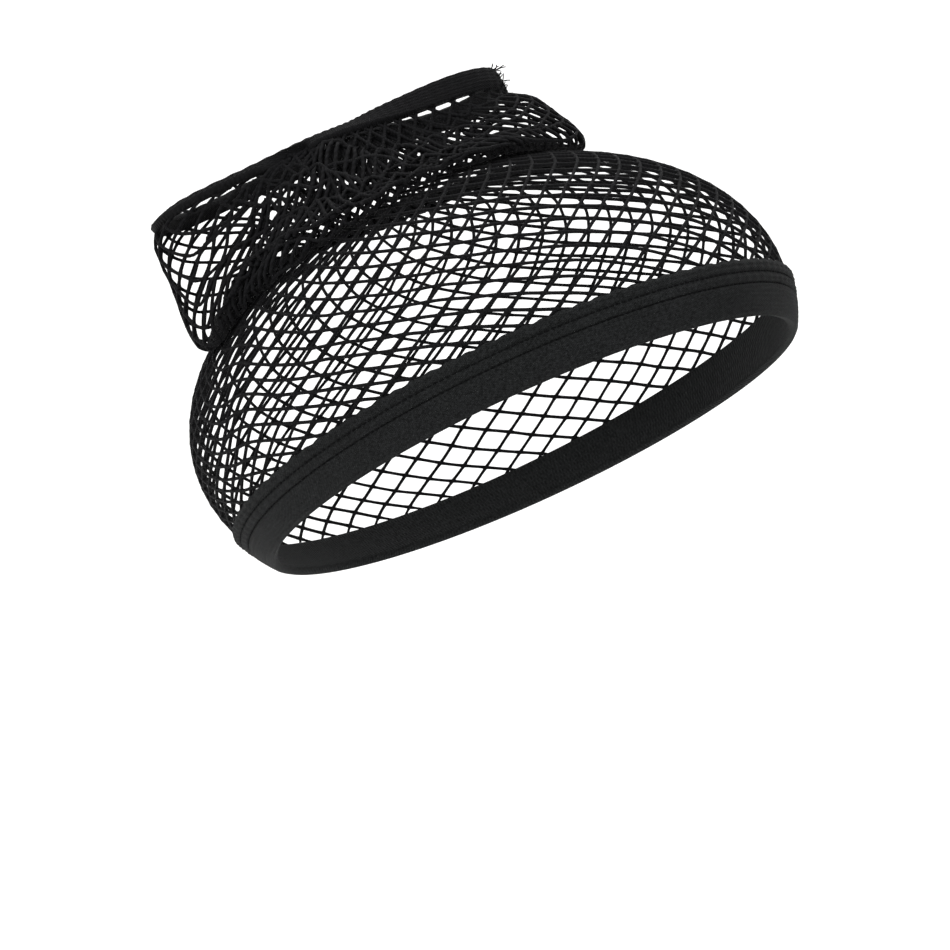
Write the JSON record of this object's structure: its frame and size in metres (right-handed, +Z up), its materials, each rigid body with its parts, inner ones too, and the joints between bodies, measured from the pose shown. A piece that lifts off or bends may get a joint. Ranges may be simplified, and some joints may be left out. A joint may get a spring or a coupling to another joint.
{
  "type": "wig cap",
  "caption": "Open-ended fishnet wig cap in its worn form: wide elastic head band, net crown and a small mouth drawn up into a collar.",
  "frame": {"origin": "middle of the head opening, on the plane of the band's lower edge", "axes": "+Z up on an upright wearer, -Y towards the forehead, -X towards the wearer's right side"},
  "size_m": [0.1642, 0.1964, 0.1605],
  "materials": {
    "band_elastic": "knitted elastic",
    "net_cord": "knotted cord",
    "mouth_elastic": "woven elastic"
  },
  "bodies": {
    "root": {"head_band": "band_elastic", "crown_net": "net_cord", "mouth_elastic": "mouth_elastic"}
  },
  "joints": []
}
